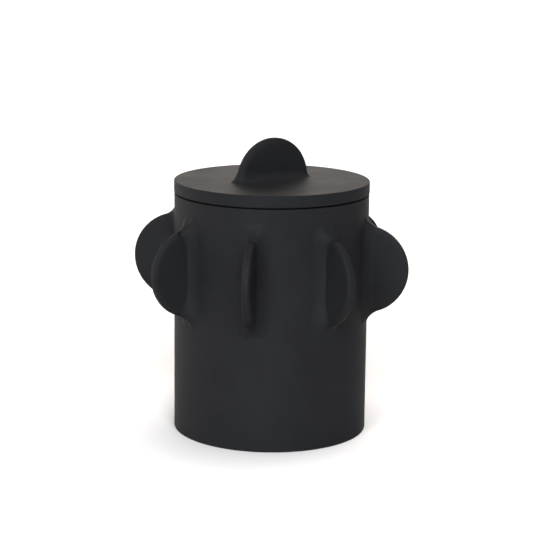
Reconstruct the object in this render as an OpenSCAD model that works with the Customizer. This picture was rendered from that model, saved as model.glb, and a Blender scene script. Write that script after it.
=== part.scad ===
// Sugar bowl: a straight hand-built pot with eight half-disc fins around it, and a flush lid with
// a half-disc knob. Origin at the centre of the foot on the table, +Z up, knob along X.

/* [Pot] */
// Outside diameter of the pot
pot_d = 90; // [70:1:120]
// Height of the pot's rim above the table
rim_z = 111.2; // [90:0.1:140]
// Thickness of the pot's wall
wall = 4.5; // [3.5:0.1:6]
// Thickness of the base slab
base_t = 5; // [3:0.1:8]
// Height of the base slab above the table, inside the foot
foot_rise = 1.5; // [0.5:0.1:3]

/* [Fins] */
// Number of places for a fin around the pot
fin_count = 8; // [8]
// Radius of a fin's round outline
fin_r = 20.4; // [14:0.1:22]
// Distance of the outline's centre inside the pot's outer face
fin_sink = 0.7; // [0:0.1:4]
// Thickness of a fin
fin_t = 4.2; // [3:0.1:6]
// Height of the fins' centres above the table
fin_z = 78.5; // [60:0.5:84]
// Radius of the clay fillet between a fin and the wall
fin_fillet = 5; // [2:0.1:5.5]

/* [Lid] */
// Diameter of the lid
lid_d = 90.3; // [72:0.1:122]
// Thickness of the lid
lid_t = 5.4; // [4:0.1:8]
// Gap between the lid and the pot's rim, which the seal's flange fills
lid_gap = 0.8; // [0.6:0.1:2]
// Depth of the ring that centres the lid in the mouth
spigot_depth = 9.5; // [8:0.1:14]
// Thickness of that ring
spigot_t = 4; // [3:0.1:6]

/* [Knob] */
// Radius of the knob's round outline
knob_r = 19.3; // [12:0.1:22]
// Height of the outline's centre above the lid
knob_rise = 0; // [0:0.1:4]
// Thickness of the knob
knob_t = 4.2; // [3:0.1:6]
// Radius of the clay fillet between the knob and the lid
knob_fillet = 4; // [1.5:0.1:4.5]

/* [Seal] */
// Thickness of the seal's collar around the spigot
seal_t = 1.55; // [1:0.05:2]
// Height of the collar below the pot's rim
seal_h = 5.3; // [4:0.1:6]
// Distance of the flange's edge inside the pot's outer face
seal_recess = 2.4; // [0.5:0.1:3]

/* [Hidden] */

// Small hand-made errors of the fins, in order around the pot: turn in degrees, rise in millimetres
fin_turn = [0, 0, 0, 1.5, 0, 0, -1.3, -4];
fin_rise = [0, 0, 0, 1.2, 0, 0.2, -0.6, -0.5];
knob_shift = 0.2;             // the knob's own error, along its length

edge_r = 0.5;                 // rounding of the pot's and lid's edges
blade_edge_r = 0.9;           // rounding of the fins' and knob's edges
seal_play = 0.05;             // running clearance between the seal and its neighbours
mouth_play = 0.3;             // clearance between the seal's ribs and the pot's mouth
rib_h = 0.8;                  // height of one rib around the seal's collar
rib_depth = 0.5;              // how far a rib stands out from the collar
lip_h = 3.2;                  // height of the lip that keeps the seal on the spigot
lip_out = 1;                  // how far that lip stands out
seam_bite = 0.06;             // how deep a fillet's foot reaches into the face it runs out on
buried = 3;                   // how deep a blade and its fillet start below that face
arc_steps = 8;                // straight steps in a fillet's quarter arc
edge_steps = 4;               // straight steps in an edge rounding
round_fn = 128;

pot_r = pot_d / 2;
mouth_r = pot_r - wall;
lid_under = rim_z + lid_gap;
lid_top = lid_under + lid_t;
collar_r = mouth_r - mouth_play - rib_depth;        // outside of the seal's collar between its ribs
spigot_r = mouth_r - mouth_play - seal_t - seal_play;

clay = [0.13, 0.13, 0.14];
clay_lid = [0.16, 0.16, 0.165];
silicone = [0.05, 0.05, 0.055];

// Quarter arc for a rounded edge about (x, y), from one angle to another
function arc(x, y, r, from, to, steps) =
    [for (i = [0:steps]) let (a = from + (to - from) * i / steps) [x + r * cos(a), y + r * sin(a)]];

// Disc from z = low to z = high with rounded edges
module rounded_disc(r, low, high, edge) {
    rotate_extrude($fn = round_fn)
        polygon(concat(
            [[0, low]],
            arc(r - edge, low + edge, edge, -90, 0, edge_steps),
            arc(r - edge, high - edge, edge, 0, 90, edge_steps),
            [[0, high]]
        ));
}

// Half of a fillet's cross-section beside a blade: it runs down from the blade's face, curves out
// and ends a little under the face below, which is flat or, with face_r, an upright cylinder
function fillet_half(t, k, face_r) =
    let (
        half = t / 2 + k,
        centre_z = (face_r > 0 ? sqrt((face_r + k) ^ 2 - half ^ 2) - face_r : k) - seam_bite,
        lean = face_r > 0 ? asin(half / (face_r + k)) : 0
    )
    arc(half, centre_z, k, 180, 270 - lean, arc_steps);

// Fillet that runs along both sides of a blade and round its two ends
module fillet_skirt(len, t, k, face_r) {
    side = fillet_half(t, k, face_r);
    foot_x = side[arc_steps][0];
    straight = len / 2 - t / 2;
    section = concat([[0, side[0][1]]], side, [[foot_x, -buried], [0, -buried]]);
    for (flip = [0, 1])
        mirror([0, flip, 0])
            rotate([90, 0, 90])
                linear_extrude(2 * straight, center = true)
                    polygon(section);
    for (end = [-1, 1])
        translate([end * straight, 0, 0])
            rotate([0, 0, 90 * (1 - end) - 90])
                rotate_extrude(angle = 180, $fn = round_fn / 2)
                    polygon(section);
}

// Upright round blade in the XZ plane with a filleted foot at z = 0
module blade(r, t, rise, k, face_r) {
    translate([0, 0, rise])
        rotate([90, 0, 0])
            translate([0, 0, -t / 2])
                rounded_disc(r, 0, t, blade_edge_r);
    fillet_skirt(2 * sqrt(r ^ 2 - rise ^ 2), t, k, face_r);
}

module pot_wall() {
    color(clay)
        difference() {
            rounded_disc(pot_r, 0, rim_z, edge_r);
            translate([0, 0, -1])
                cylinder(h = rim_z + 2, r = mouth_r, $fn = round_fn);
        }
}

module pot_base() {
    color(clay)
        translate([0, 0, foot_rise])
            cylinder(h = base_t, r = mouth_r, $fn = round_fn);
}

// One fin, luted to the wall's outer face; the number counts around the pot from +X
module fin(number) {
    angle = (number - 1) * 360 / fin_count + fin_turn[number - 1];
    color(clay)
        difference() {
            rotate([0, 0, angle])
                translate([pot_r, 0, fin_z + fin_rise[number - 1]])
                    rotate([0, 90, 0])
                        blade(fin_r, fin_t, -fin_sink, fin_fillet, pot_r);
            cylinder(h = rim_z, r = pot_r, $fn = round_fn);
        }
}

module lid_plate() {
    color(clay_lid)
        rounded_disc(lid_d / 2, lid_under, lid_top, edge_r);
}

// Ring that centres the lid, with a lip that keeps the seal on
module lid_spigot() {
    color(clay)
        rotate_extrude($fn = round_fn)
            polygon([
                [spigot_r - spigot_t, lid_under - spigot_depth],
                [spigot_r + lip_out - edge_r, lid_under - spigot_depth],
                [spigot_r + lip_out, lid_under - spigot_depth + edge_r],
                [spigot_r + lip_out, lid_under - spigot_depth + lip_h],
                [spigot_r, lid_under - spigot_depth + lip_h],
                [spigot_r, lid_under],
                [spigot_r - spigot_t, lid_under]
            ]);
}

// Half-disc knob standing across the middle of the lid
module lid_knob() {
    color(clay)
        difference() {
            translate([knob_shift, 0, lid_top])
                blade(knob_r, knob_t, knob_rise, knob_fillet, 0);
            cylinder(h = lid_top, d = lid_d, $fn = round_fn);
        }
}

// Soft ring: a flange between lid and rim, and a collar with two ribs inside the mouth
module lid_seal() {
    inner = spigot_r + seal_play;
    flange_low = rim_z + seal_play;
    collar_low = rim_z - seal_h;
    color(silicone)
        rotate_extrude($fn = round_fn) {
            translate([inner, flange_low])
                square([pot_r - seal_recess - inner, lid_gap - 2 * seal_play]);
            translate([inner, collar_low])
                square([collar_r - inner, flange_low - collar_low]);
            for (rib_z = [collar_low + rib_h, collar_low + 3 * rib_h])
                translate([inner, rib_z])
                    square([collar_r + rib_depth - inner, rib_h]);
        }
}

pot_wall();
pot_base();
fin(1);  // fin_1
fin(2);  // fin_2
fin(3);  // fin_3
fin(4);  // fin_4
fin(5);  // fin_5
fin(6);  // fin_6
fin(7);  // fin_7
fin(8);  // fin_8
lid_plate();
lid_spigot();
lid_knob();
lid_seal();
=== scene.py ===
import math

import bpy
import numpy as np
from mathutils import Matrix, Vector


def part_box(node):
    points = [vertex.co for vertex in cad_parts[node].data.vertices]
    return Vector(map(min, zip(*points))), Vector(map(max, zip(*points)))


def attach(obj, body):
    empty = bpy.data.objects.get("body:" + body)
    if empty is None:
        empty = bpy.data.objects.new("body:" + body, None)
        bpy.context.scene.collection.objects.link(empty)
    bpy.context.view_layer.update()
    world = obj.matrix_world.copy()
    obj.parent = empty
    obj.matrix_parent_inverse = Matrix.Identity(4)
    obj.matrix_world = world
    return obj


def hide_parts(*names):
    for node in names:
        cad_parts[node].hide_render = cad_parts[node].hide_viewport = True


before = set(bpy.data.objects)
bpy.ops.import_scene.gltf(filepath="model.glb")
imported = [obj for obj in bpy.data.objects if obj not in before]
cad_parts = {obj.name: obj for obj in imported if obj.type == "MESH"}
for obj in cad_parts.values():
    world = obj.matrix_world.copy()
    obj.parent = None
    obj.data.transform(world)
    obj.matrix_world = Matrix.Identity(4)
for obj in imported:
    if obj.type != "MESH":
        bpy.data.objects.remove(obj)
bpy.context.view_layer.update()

MM = 0.001
TINY = 1e-9                  # shorter than any real length here

# ---------------------------------------------------------------- sizes, from the CAD frame

wall_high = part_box("pot_wall")[1]
base_low, base_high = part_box("pot_base")
lid_low, lid_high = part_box("lid_plate")
spigot_low, spigot_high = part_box("lid_spigot")
seal_low, seal_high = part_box("lid_seal")
knob_low, knob_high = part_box("lid_knob")

POT_R = wall_high.x
MOUTH_R = base_high.x
RIM_Z = wall_high.z
FOOT_RISE = base_low.z
BASE_TOP = base_high.z
LID_R = lid_high.x
LID_UNDER = lid_low.z
LID_TOP = lid_high.z

EDGE_R = 0.5 * MM            # rounding of the ceramic edges
LIP_EDGE_R = 0.25 * MM       # rounding of the edges that face each other across the lid's gap
FOOT_EDGE_R = 0.7 * MM       # rounding of the edge that the pot stands on
COVE_R = 4 * MM              # inner corner between wall and base
FOOT_COVE_R = 0.6 * MM       # corner of the recess under the base
BURIED = 1 * MM              # how deep a luted piece's hidden foot goes into its neighbour

FIN_COUNT = 8
FIN_SINK = 0.7 * MM          # how far a fin's centre lies inside the pot's outer face
FIN_TIP_DEPTH = 0.2 * MM     # the part of a CAD fin this near its tip tells where the fin is
BLADE_T = 4.2 * MM           # thickness of a fin, and of the knob
FIN_EDGE = (2.5 * MM, 1.2 * MM)      # rounding of a fin's edges, along and across its face
KNOB_EDGE = (3.5 * MM, 1.6 * MM)     # the same for the knob, which is softer to hold

# Clay fillets: how far each reaches up the blade and out over the ground
FIN_LOW_FILLET = (6 * MM, 6 * MM)
FIN_TOP_FILLET = (5 * MM, 4.5 * MM)
FIN_SIDE_REACH = 5.5 * MM    # out over the ground; how far it climbs is in SIDE_CLIMBS
KNOB_LEFT_FILLET = (6 * MM, 2.6 * MM)
KNOB_SIDE_FILLET = (4 * MM, 5 * MM)
KNOB_RIGHT_FILLET = (2.6 * MM, 1.6 * MM)
FILLET_POWER = 1.7           # 2 is a round hollow, 1 a flat bevel
END_START = 0.4              # share of the way from the middle where an end's fillet begins to count
# Made by hand, so each differs: how far the clay climbs each fin's sides, and how much further it
# is smoothed over its upper end, in order around the pot
SIDE_CLIMBS = [s * MM for s in (3, 3, 3, 3.5, 2.6, 6, 2.4, 4)]
TOP_SMEARS = [s * MM for s in (0, 1, 0.5, 0, 0.5, 2, 1.5, 0)]
CREASE_R = 1.1 * MM          # radius of the crease that this clay leaves across the fin's rim
CREASE_DEPTH = 0.7 * MM
CREASE_REACH = 5.2 * MM      # distance of the crease from the wall
CREASE_TILT = 0.7            # how far it climbs for each millimetre across the rim

SPIGOT_T = 4 * MM
SPIGOT_LIP_OUT = 1 * MM
SPIGOT_LIP_H = 3.2 * MM
SEAL_PLAY = 0.05 * MM        # clearance between the seal and its neighbours
SEAL_COLLAR_T = 1.05 * MM    # thickness of the seal's collar between its ribs
SEAL_RIB_H = 0.8 * MM
SEAL_RIB_OUT = 0.5 * MM      # how far a rib stands out from the collar
SEAL_EDGE_R = 0.15 * MM
SEAL_ROOT_R = 0.1 * MM       # inner corner between a rib and the collar

# ---------------------------------------------------------------- fineness of the meshes

TURN_STEPS = 256             # steps round a turned piece
ARC_STEP = math.radians(9)   # step along a rounded corner
LINE_STEP = 3 * MM           # longest step along a straight stretch of outline
CORNER_STEPS = 10            # steps round each corner of a blade's end, and across between them
FACE_STEPS = 60              # steps along a blade's face
SKIRT_ROWS = 14              # rows over the fillet's width on the ground
BLADE_ROWS = 80              # rows from the ground to a blade's tip
SETTLE_ROUNDS = 12           # Newton steps that bring a starting point onto the surface
PROBE = 1e-6                 # distance over which the surface's slope is measured

# ---------------------------------------------------------------- turned pieces


def make_object(name, points, faces, normals):
    """Smooth mesh object whose corner normals are the exact ones of its surface."""
    mesh = bpy.data.meshes.new(name)
    mesh.from_pydata([tuple(p) for p in points], [], faces)
    mesh.validate(clean_customdata=False)
    mesh.shade_smooth()
    mesh.normals_split_custom_set_from_vertices([tuple(n) for n in normals])
    piece = bpy.data.objects.new(name, mesh)
    bpy.context.scene.collection.objects.link(piece)
    return piece


def right_of(way):
    """Direction a quarter turn to the right of another."""
    return np.array([way[1], -way[0]])


def rounded_corner(spot, arrive_way, leave_way, rounding):
    """Points and outward normals round a corner between two directions of travel."""
    cross = arrive_way[0] * leave_way[1] - arrive_way[1] * leave_way[0]
    turn = math.atan2(cross, arrive_way @ leave_way)
    side = math.copysign(1, turn)
    first = right_of(arrive_way)
    centre = spot - arrive_way * rounding * math.tan(abs(turn) / 2) - side * rounding * first
    steps = max(1, math.ceil(abs(turn) / ARC_STEP)) if rounding else 1
    corner = []
    for k in range(steps + 1):
        cos, sin = math.cos(turn * k / steps), math.sin(turn * k / steps)
        normal = np.array([first[0] * cos - first[1] * sin, first[0] * sin + first[1] * cos])
        corner.append((centre + side * rounding * normal, normal))
    return corner


def straight_stretch(start, end):
    """Points and outward normals that divide a straight stretch, without its two ends."""
    span = np.linalg.norm(end - start)
    pieces = math.ceil(span / LINE_STEP)
    stretch = []
    for k in range(1, pieces):
        stretch.append((start + (end - start) * k / pieces, right_of((end - start) / span)))
    return stretch


def rounded_outline(corners, closed):
    """Points and outward normals along an outline of (radius, height, rounding) corners.

    It runs anticlockwise with the radius to the right and the height up."""
    count = len(corners)
    spots = [np.array(corner[:2], float) for corner in corners]
    ways = [spots[(i + 1) % count] - spots[i] for i in range(count)]
    ways = [way / np.linalg.norm(way) for way in ways]
    stops = []
    for i in range(count):
        if closed or 0 < i < count - 1:
            stops.append(rounded_corner(spots[i], ways[i - 1], ways[i], corners[i][2]))
        else:
            stops.append([(spots[i], right_of(ways[0] if i == 0 else ways[-2]))])
    outline = []
    for i, stop in enumerate(stops):
        outline += stop
        if closed or i < count - 1:
            outline += straight_stretch(stop[-1][0], stops[(i + 1) % count][0][0])
    return outline


def turned(name, corners):
    """Piece turned about the Z axis; an outline that starts on the axis is a disc, any other a ring."""
    closed = corners[0][0] > 0
    outline = rounded_outline(corners, closed)
    angles = [2 * math.pi * k / TURN_STEPS for k in range(TURN_STEPS)]
    points, normals, rows = [], [], []
    for (radius, height), (out, up) in outline:
        around = angles if radius > TINY else angles[:1]
        rows.append([len(points) + k % len(around) for k in range(TURN_STEPS)])
        for a in around:
            points.append((radius * math.cos(a), radius * math.sin(a), height))
            normals.append((out * math.cos(a), out * math.sin(a), up))
    faces = []
    for j in range(len(rows) if closed else len(rows) - 1):
        j_next = (j + 1) % len(rows)
        if np.linalg.norm(outline[j][0] - outline[j_next][0]) < TINY:
            continue
        for k in range(TURN_STEPS):
            k_next = (k + 1) % TURN_STEPS
            ring = (rows[j][k], rows[j][k_next], rows[j_next][k_next], rows[j_next][k])
            faces.append(tuple(dict.fromkeys(ring)))
    return make_object(name, points, faces, normals)


# ---------------------------------------------------------------- fins and knob


def flat_ground(points):
    """Distance of local points above a flat face at height 0."""
    return points[:, 2]


def round_ground(points):
    """Distance of local points from the pot's outer face, whose axis runs along local X."""
    return np.hypot(points[:, 1], points[:, 2] + POT_R) - POT_R


class Blade:
    """Upright half disc and the clay fillet that joins it to the ground it stands on.

    Local X runs along its foot, Y across it and Z out from the ground. rise is the height of its
    centre, at most 0. Each fillet is (reach up the blade, reach out over the ground), at the
    blade's lower or left end, along its middle, and at its upper or right end."""

    def __init__(self, radius, rise, edge, fillets, ground):
        self.radius = radius
        self.rise = rise
        self.edge_along, self.edge_across = edge
        self.up_reaches, self.out_reaches = zip(*fillets)
        self.ground = ground
        self.foot = math.sqrt(radius ** 2 - rise ** 2)
        self.crease = None

    def add_crease(self):
        """Crease across the rim near its upper end, just outside the blade's round outline."""
        height = CREASE_REACH - self.rise
        along = math.sqrt(self.radius ** 2 - height ** 2)
        off = 1 + (CREASE_R - CREASE_DEPTH) / self.radius
        self.crease = (along * off, self.rise + height * off)

    def reach(self, x, reaches):
        """One of the fillet's two reaches at a place along the foot."""
        low, middle, high = reaches
        share = np.clip((np.abs(x) / self.foot - END_START) / (1 - END_START), 0, 1)
        end = np.where(np.asarray(x) > 0, high, low)
        return middle + (end - middle) * share * share * (3 - 2 * share)

    def distance(self, points):
        """Distance from the bare blade, which runs straight down below its centre."""
        above = np.maximum(points[:, 2] - self.rise, 0)
        out = (np.hypot(points[:, 0], above) - self.radius) / self.edge_along + 1
        across = (np.abs(points[:, 1]) - BLADE_T / 2) / self.edge_across + 1
        out, across = np.maximum(out, 0), np.maximum(across, 1e-3)
        size = np.hypot(out, across)
        return (size - 1) * size / np.hypot(out / self.edge_along, across / self.edge_across)

    def field(self, points):
        """Distance-like field of blade and ground joined by the fillet; its zero is the surface."""
        out = self.reach(points[:, 0], self.out_reaches)
        a = self.ground(points) / self.reach(points[:, 0], self.up_reaches)
        b = self.distance(points) / out
        power = FILLET_POWER
        hollow = (np.maximum(1 - a, 0) ** power + np.maximum(1 - b, 0) ** power) ** (1 / power)
        surface = (np.maximum(1, np.minimum(a, b)) - hollow) * out
        if self.crease is None:
            return surface
        climb = points[:, 0] - self.crease[0] - CREASE_TILT * points[:, 1]
        cut = CREASE_R - np.hypot(climb, points[:, 2] - self.crease[1])
        soft = CREASE_R / 2
        blend = np.maximum(soft - np.abs(surface - cut), 0) / soft
        return np.maximum(surface, cut) + blend * blend * soft / 4

    def slope(self, points):
        """Gradient of the field at each point, by central differences."""
        columns = []
        for axis in np.eye(3):
            ahead, behind = self.field(points + PROBE * axis), self.field(points - PROBE * axis)
            columns.append((ahead - behind) / (2 * PROBE))
        return np.stack(columns, 1)

    def settle(self, points):
        """Starting points moved onto the surface, and the surface's normals there."""
        for _ in range(SETTLE_ROUNDS):
            gradient = self.slope(points)
            length_2 = np.maximum((gradient ** 2).sum(1), 1e-6)
            points = points - (self.field(points) / length_2)[:, None] * gradient
        normals = self.slope(points)
        return points, normals / np.linalg.norm(normals, axis=1)[:, None]


def end_strip(corner):
    """Way round a blade's end: (share of the corner outward, across, share of it over the face)."""
    side = BLADE_T / 2 - corner
    strip = []
    for k in range(CORNER_STEPS + 1):
        a = math.radians(-90 + 90 * k / CORNER_STEPS)
        strip.append((math.cos(a), -side, math.sin(a)))
    for k in range(1, CORNER_STEPS):
        strip.append((1, side * (2 * k / CORNER_STEPS - 1), 0))
    for k in range(CORNER_STEPS + 1):
        a = math.radians(90 * k / CORNER_STEPS)
        strip.append((math.cos(a), side, math.sin(a)))
    return strip


def blade_loop(blade, strip, tilt, height, skirt):
    """Loop of starting points round a blade: right end, near face, left end, far face.

    tilt is the rim's angle there, height its centre's, and skirt its share of the fillet's width."""
    corner = blade.edge_across
    inner = blade.radius - corner
    ends = []
    for end in (1, -1):
        grow = corner + skirt * float(blade.reach(end * blade.foot, blade.out_reaches))
        points = []
        for outward, across, over in strip:
            spread = inner + grow * outward
            x, z = end * spread * math.cos(tilt), height + spread * math.sin(tilt)
            points.append((x, across + grow * over, z))
        ends.append(points)
    right, left = ends[0], ends[1][::-1]
    x_right, _, z_face = right[-1]
    x_left = left[0][0]
    near = []
    for k in range(1, FACE_STEPS):
        x = x_right + (x_left - x_right) * k / FACE_STEPS
        reach = float(blade.reach(x, blade.out_reaches))
        near.append((x, BLADE_T / 2 + skirt * reach, z_face))
    far = [(x, -y, z) for x, y, z in reversed(near)]
    return right + near + left + far


def blade_rows(blade, strip):
    """Loops of starting points: a skirt on the ground, then rows up the blade."""
    rows = [blade_loop(blade, strip, 0, 0, 1 - k / SKIRT_ROWS) for k in range(SKIRT_ROWS)]
    lowest = math.asin(-blade.rise / (blade.radius - blade.edge_across))
    for k in range(BLADE_ROWS):
        tilt = lowest + (math.pi / 2 - lowest) * k / BLADE_ROWS
        rows.append(blade_loop(blade, strip, tilt, blade.rise, 0))
    return rows


def tip_place(k, strip_count):
    """Place among the tip's points on which a loop's point k closes."""
    last = strip_count - 1
    left_start = strip_count + FACE_STEPS - 1
    if k < strip_count:
        return k
    if k < left_start:
        return last
    if k < left_start + strip_count:
        return last - (k - left_start)
    return 0


def blade_faces(row_count, loop_count, strip_count):
    """Faces between the loops, over the tip, and round and under the buried foot."""
    tip = row_count * loop_count
    foot = tip + strip_count
    faces = []
    for k in range(loop_count):
        k_next = (k + 1) % loop_count
        for low in range(0, tip - loop_count, loop_count):
            high = low + loop_count
            faces.append((low + k, low + k_next, high + k_next, high + k))
        low = tip - loop_count
        high, high_next = tip + tip_place(k, strip_count), tip + tip_place(k_next, strip_count)
        faces.append(tuple(dict.fromkeys((low + k, low + k_next, high_next, high))))
        faces.append((foot + k, foot + k_next, k_next, k))
    faces.append(tuple(foot + k for k in reversed(range(loop_count))))
    return faces


def blade_mesh(name, blade, to_row):
    """Mesh of a blade with its fillet; to_row places it in the row frame."""
    strip = end_strip(blade.edge_across)
    rows = blade_rows(blade, strip)
    inner = blade.radius - blade.edge_across
    tip = [(0, across + blade.edge_across * over, blade.rise + inner + blade.edge_across * outward)
           for outward, across, over in strip]
    starts = np.array([p for row in rows for p in row] + tip)
    skirt = starts[:, 2] <= 0
    starts[skirt, 2] -= blade.ground(starts[skirt] * [1, 1, 0])
    points, normals = blade.settle(starts)

    loop_count = len(rows[0])
    foot = points[:loop_count] * [1, 1, 0] - [0, 0, BURIED + EDGE_R]
    points = np.vstack([points, foot])
    normals = np.vstack([normals, np.tile([0, 0, -1], (loop_count, 1))])
    spin = np.array(to_row.to_3x3())
    shift = np.array(to_row.translation)
    faces = blade_faces(len(rows), loop_count, len(strip))
    return make_object(name, points @ spin.T + shift, faces, normals @ spin.T)


def fin_place(node):
    """Direction, height and tip radius of a fin, read off its CAD mesh."""
    corners = np.array([v.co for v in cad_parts[node].data.vertices])
    reach = np.hypot(corners[:, 0], corners[:, 1])
    tip = corners[reach > reach.max() - FIN_TIP_DEPTH]
    angle = math.atan2(tip[:, 1].mean(), tip[:, 0].mean())
    height = (tip[:, 2].max() + tip[:, 2].min()) / 2
    return angle, height, (tip[:, 0] * math.cos(angle) + tip[:, 1] * math.sin(angle)).max()


def make_fin(number):
    """Fin whose local X runs up the wall and whose local Z points out from it."""
    node = f"fin_{number}"
    angle, height, tip_reach = fin_place(node)
    radius = tip_reach - POT_R + FIN_SINK
    out = Vector((math.cos(angle), math.sin(angle), 0))
    up = Vector((0, 0, 1))
    place = Matrix((up, out.cross(up), out)).transposed().to_4x4()
    place.translation = out * POT_R + up * height
    smear = TOP_SMEARS[number - 1]
    top_up, top_out = FIN_TOP_FILLET
    fillets = (FIN_LOW_FILLET, (SIDE_CLIMBS[number - 1], FIN_SIDE_REACH), (top_up, top_out + smear))
    blade = Blade(radius, -FIN_SINK, FIN_EDGE, fillets, round_ground)
    if smear:
        blade.add_crease()
    return blade_mesh(node + "_blade", blade, place)


def make_knob():
    radius = knob_high.z - LID_TOP
    middle = (knob_low.x + knob_high.x) / 2
    fillets = (KNOB_LEFT_FILLET, KNOB_SIDE_FILLET, KNOB_RIGHT_FILLET)
    blade = Blade(radius, 0, KNOB_EDGE, fillets, flat_ground)
    return blade_mesh("knob_blade", blade, Matrix.Translation((middle, 0, LID_TOP)))


# ---------------------------------------------------------------- pot, lid and seal


def make_pot():
    return turned("pot_shell", [
        (0, FOOT_RISE, 0),
        (MOUTH_R, FOOT_RISE, FOOT_COVE_R),
        (MOUTH_R, 0, EDGE_R),
        (POT_R, 0, FOOT_EDGE_R),
        (POT_R, RIM_Z, LIP_EDGE_R),
        (MOUTH_R, RIM_Z, EDGE_R),
        (MOUTH_R, BASE_TOP, COVE_R),
        (0, BASE_TOP, 0),
    ])


def make_lid_disc():
    return turned("lid_disc", [
        (0, LID_UNDER, 0),
        (LID_R, LID_UNDER, LIP_EDGE_R),
        (LID_R, LID_TOP, EDGE_R),
        (0, LID_TOP, 0),
    ])


def make_spigot():
    """Ring under the lid, with a lip that keeps the seal on; its upper end is buried in the lid."""
    lip_r = spigot_high.x
    groove_r = lip_r - SPIGOT_LIP_OUT
    inner_r = groove_r - SPIGOT_T
    low = spigot_low.z
    return turned("spigot_ring", [
        (inner_r, low, EDGE_R),
        (lip_r, low, EDGE_R),
        (lip_r, low + SPIGOT_LIP_H, EDGE_R / 2),
        (groove_r, low + SPIGOT_LIP_H, EDGE_R / 2),
        (groove_r, LID_UNDER + BURIED, 0),
        (inner_r, LID_UNDER + BURIED, 0),
    ])


def make_seal():
    """Silicone ring: a flange between rim and lid over a collar with two soft ribs."""
    inner = spigot_high.x - SPIGOT_LIP_OUT + SEAL_PLAY
    collar = inner + SEAL_COLLAR_T
    rib = collar + SEAL_RIB_OUT
    low = seal_low.z
    flange_low = RIM_Z + SEAL_PLAY
    corners = [(inner, low, SEAL_EDGE_R), (collar, low, SEAL_EDGE_R)]
    for rib_z in (low + SEAL_RIB_H, low + 3 * SEAL_RIB_H):
        corners += [
            (collar, rib_z, SEAL_ROOT_R),
            (rib, rib_z + SEAL_RIB_H / 4, SEAL_EDGE_R),
            (rib, rib_z + SEAL_RIB_H * 3 / 4, SEAL_EDGE_R),
            (collar, rib_z + SEAL_RIB_H, SEAL_ROOT_R),
        ]
    corners += [
        (collar, flange_low, SEAL_EDGE_R),
        (seal_high.x, flange_low, SEAL_EDGE_R),
        (seal_high.x, seal_high.z, SEAL_EDGE_R),
        (inner, seal_high.z, SEAL_EDGE_R),
    ]
    return turned("seal_ring", corners)


# ---------------------------------------------------------------- materials

CONTACT_REACH = 40 * MM      # how far from a thing the painted contact shadow on the floor reaches
CONTACT_SHADE = 0.75         # the floor's brightness right beside a thing, where the painted contact shadow is darkest


class Nodes:
    """Short way to build a node tree: an input is given a value or another node's output."""

    def __init__(self, owner):
        owner.use_nodes = True
        self.tree = owner.node_tree

    def fill(self, node, inputs):
        for key, value in inputs.items():
            if isinstance(value, bpy.types.NodeSocket):
                self.tree.links.new(value, node.inputs[key])
            else:
                node.inputs[key].default_value = value

    def add(self, kind, inputs, **settings):
        node = self.tree.nodes.new(kind)
        for key, value in settings.items():
            setattr(node, key, value)
        self.fill(node, inputs)
        return node

    def place(self):
        """Position on the piece, in metres."""
        return self.add("ShaderNodeTexCoord", {}).outputs["Object"]

    def noise(self, place, scale, detail, roughness):
        """Fractal noise between 0 and 1; scale is in features per metre."""
        return self.add("ShaderNodeTexNoise", {
            "Vector": place, "Scale": scale, "Detail": detail, "Roughness": roughness,
        }).outputs["Fac"]

    def mix(self, factor, dark, light):
        return self.add("ShaderNodeMix", {
            "Factor": factor, "A": (*dark, 1), "B": (*light, 1),
        }, data_type="RGBA").outputs["Result"]

    def spread(self, value, low, high, to_low, to_high):
        """Value between low and high stretched to the range from to_low to to_high."""
        return self.add("ShaderNodeMapRange", {
            "Value": value, "From Min": low, "From Max": high, "To Min": to_low, "To Max": to_high,
        }).outputs["Result"]

    def scaled(self, vector, factor):
        return self.add(
            "ShaderNodeVectorMath", {0: vector, "Scale": factor}, operation="SCALE"
        ).outputs[0]

    def bump(self, height, strength, distance, below=None):
        inputs = {"Height": height, "Strength": strength, "Distance": distance}
        if below is not None:
            inputs["Normal"] = below
        return self.add("ShaderNodeBump", inputs).outputs["Normal"]


def clay_material():
    """Unglazed matt black clay: cloudy tone, fine grain, and faint marks of smoothing round the pot."""
    material = bpy.data.materials.new("black_clay")
    n = Nodes(material)
    place = n.place()
    clouds = n.noise(place, 55, 4, 0.55)
    speckle = n.noise(place, 1400, 3, 0.6)
    both = n.add("ShaderNodeMath", {0: clouds, 1: speckle}, operation="ADD").outputs[0]
    blotch = n.spread(both, 0.75, 1.25, 0, 1)
    stretched = n.add("ShaderNodeMapping", {"Vector": place, "Scale": (1, 1, 9)}).outputs["Vector"]
    normal = n.bump(n.noise(place, 2600, 2, 0.5), 0.35, 0.05 * MM)
    normal = n.bump(n.noise(stretched, 90, 3, 0.5), 0.3, 0.1 * MM, normal)
    normal = n.bump(clouds, 0.25, 0.3 * MM, normal)
    n.fill(n.tree.nodes["Principled BSDF"], {
        "Base Color": n.mix(blotch, (0.0067, 0.0070, 0.0077), (0.0088, 0.0092, 0.0102)),
        "Roughness": n.spread(clouds, 0.3, 0.7, 0.61, 0.69),
        "Specular IOR Level": 0.06, "Normal": normal,
    })
    return material


def silicone_material():
    """Black silicone: even, slightly soft-glossed, with a dusting of fine grain."""
    material = bpy.data.materials.new("black_silicone")
    n = Nodes(material)
    dust = n.noise(n.place(), 900, 4, 0.5)
    n.fill(n.tree.nodes["Principled BSDF"], {
        "Base Color": n.mix(dust, (0.004, 0.004, 0.005), (0.012, 0.012, 0.013)),
        "Roughness": 0.55, "Normal": n.bump(dust, 0.2, 0.04 * MM),
    })
    return material


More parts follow.
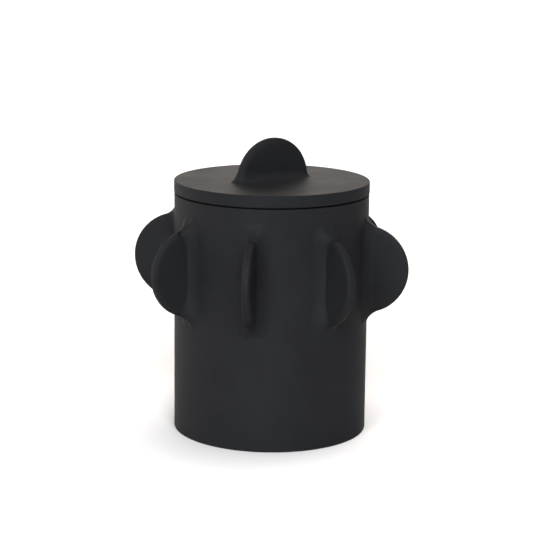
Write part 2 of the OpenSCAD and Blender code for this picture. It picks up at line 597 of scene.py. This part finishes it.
def floor_material():
    """Plain white studio sweep, with a contact shadow painted into its colour where something stands
    close by.
    """
    material = bpy.data.materials.new("studio_white")
    n = Nodes(material)
    haze = n.noise(n.place(), 3, 2, 0.5)
    white = n.mix(haze, (0.80, 0.79, 0.77), (0.82, 0.81, 0.79))
    # ambient occlusion darkens the floor's colour near things: a painted contact shadow, not one cast
    # by the lights
    painted_shadow_ao = n.add("ShaderNodeAmbientOcclusion", {"Distance": CONTACT_REACH}).outputs["AO"]
    n.fill(n.tree.nodes["Principled BSDF"], {
        "Base Color": n.scaled(white, n.spread(painted_shadow_ao, 0.5, 1, CONTACT_SHADE, 1)),
        "Roughness": 0.9, "Specular IOR Level": 0.0,
    })
    return material


# ---------------------------------------------------------------- build the pieces

clay = clay_material()
silicone = silicone_material()


def finish_piece(piece, body, slot, material, *nodes):
    piece.data.materials.append(material)
    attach(piece, body)
    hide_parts(*nodes)


finish_piece(make_pot(), "pot", "pot", clay, "pot_wall", "pot_base")
for number in range(1, FIN_COUNT + 1):
    finish_piece(make_fin(number), "pot", "pot", clay, f"fin_{number}")
finish_piece(make_lid_disc(), "lid", "lid", clay, "lid_plate")
finish_piece(make_spigot(), "lid", "lid", clay, "lid_spigot")
finish_piece(make_knob(), "lid", "lid", clay, "lid_knob")
finish_piece(make_seal(), "seal", "seal", silicone, "lid_seal")

# ---------------------------------------------------------------- studio

FLOOR_HALF = 3.0             # half the floor's side, in metres

CAMERA_AZIMUTH = -35.0       # degrees; 0 looks along +Y
CAMERA_REACH = 837.6 * MM    # horizontal distance from the pot's axis
CAMERA_HEIGHT = 256.4 * MM
CAMERA_PITCH = 12.141        # degrees below level
CAMERA_YAW = -0.145          # degrees off the pot's axis
CAMERA_ROLL = 0.59           # degrees, leaning the picture clockwise
CAMERA_SENSOR = 36.0         # width in millimetres
CAMERA_LENS = 124.25         # millimetres

WARM = (1.08, 0.99, 0.93)
COOL = (0.97, 0.99, 1.04)
# Soft round panels of the studio's surround. Each is (degrees to the right of the camera,
# elevation, radius of its even middle, radius at which it has faded out, radiance, tint).
PANELS = (
    (178, -3, 14, 49, 3.9, WARM),
    (-114, -5, 8, 38, 5.1, WARM),
    (-26, 21, 6, 18, 17.2, COOL),
    (8, 31, 7, 19, 20.0, COOL),
    (133, 66, 8, 24, 4.4, WARM),
)
SURROUND_FILL = 0.15         # radiance of the surround between them


def make_floor():
    half = FLOOR_HALF
    corners = [(-half, -half, 0), (half, -half, 0), (half, half, 0), (-half, half, 0)]
    mesh = bpy.data.meshes.new("studio_floor")
    mesh.from_pydata(corners, [], [(0, 1, 2, 3)])
    mesh.materials.append(floor_material())
    floor = bpy.data.objects.new("studio_floor", mesh)
    bpy.context.scene.collection.objects.link(floor)


def panel_light(n, heading, around, elevation, inner, outer, radiance, tint):
    """Colour that one panel adds in the direction being looked in."""
    a, e = math.radians(CAMERA_AZIMUTH + around), math.radians(elevation)
    aim = (math.sin(a) * math.cos(e), -math.cos(a) * math.cos(e), math.sin(e))
    dot = n.add("ShaderNodeVectorMath", {0: heading, 1: aim}, operation="DOT_PRODUCT")
    glow = n.add("ShaderNodeMapRange", {
        "Value": dot.outputs["Value"], "From Min": math.cos(math.radians(outer)),
        "From Max": math.cos(math.radians(inner)), "To Max": radiance,
    }, interpolation_type="SMOOTHSTEP")
    return n.scaled(tint, glow.outputs["Result"])


def make_world():
    """Soft panels all around for the object, and plain white where the camera looks past the floor."""
    world = bpy.data.worlds.new("studio_surround")
    n = Nodes(world)
    heading = n.add("ShaderNodeTexCoord", {}).outputs["Generated"]
    light = (SURROUND_FILL,) * 3
    for panel in PANELS:
        added = panel_light(n, heading, *panel)
        light = n.add("ShaderNodeVectorMath", {0: light, 1: added}).outputs[0]
    seen = n.add("ShaderNodeLightPath", {}).outputs["Is Camera Ray"]
    colour = n.add("ShaderNodeMix", {"Factor": seen, "A": light, "B": (1, 1, 1, 1)}, data_type="RGBA")
    n.fill(n.tree.nodes["Background"], {"Color": colour.outputs["Result"]})
    bpy.context.scene.world = world


def make_camera():
    data = bpy.data.cameras.new("camera")
    data.lens = CAMERA_LENS
    data.sensor_width = CAMERA_SENSOR
    data.clip_start = 0.01
    data.clip_end = 20.0
    camera = bpy.data.objects.new("camera", data)
    bpy.context.scene.collection.objects.link(camera)
    azimuth = math.radians(CAMERA_AZIMUTH)
    camera.location = (
        CAMERA_REACH * math.sin(azimuth), -CAMERA_REACH * math.cos(azimuth), CAMERA_HEIGHT
    )
    heading = Matrix.Rotation(azimuth - math.radians(CAMERA_YAW), 4, "Z")
    tilt = Matrix.Rotation(math.radians(90 - CAMERA_PITCH), 4, "X")
    roll = Matrix.Rotation(math.radians(CAMERA_ROLL), 4, "Z")
    camera.rotation_euler = (heading @ tilt @ roll).to_euler()
    bpy.context.scene.camera = camera


make_floor()
make_world()
make_camera()
bpy.context.scene.view_settings.view_transform = "Standard"
bpy.context.scene.view_settings.look = "None"
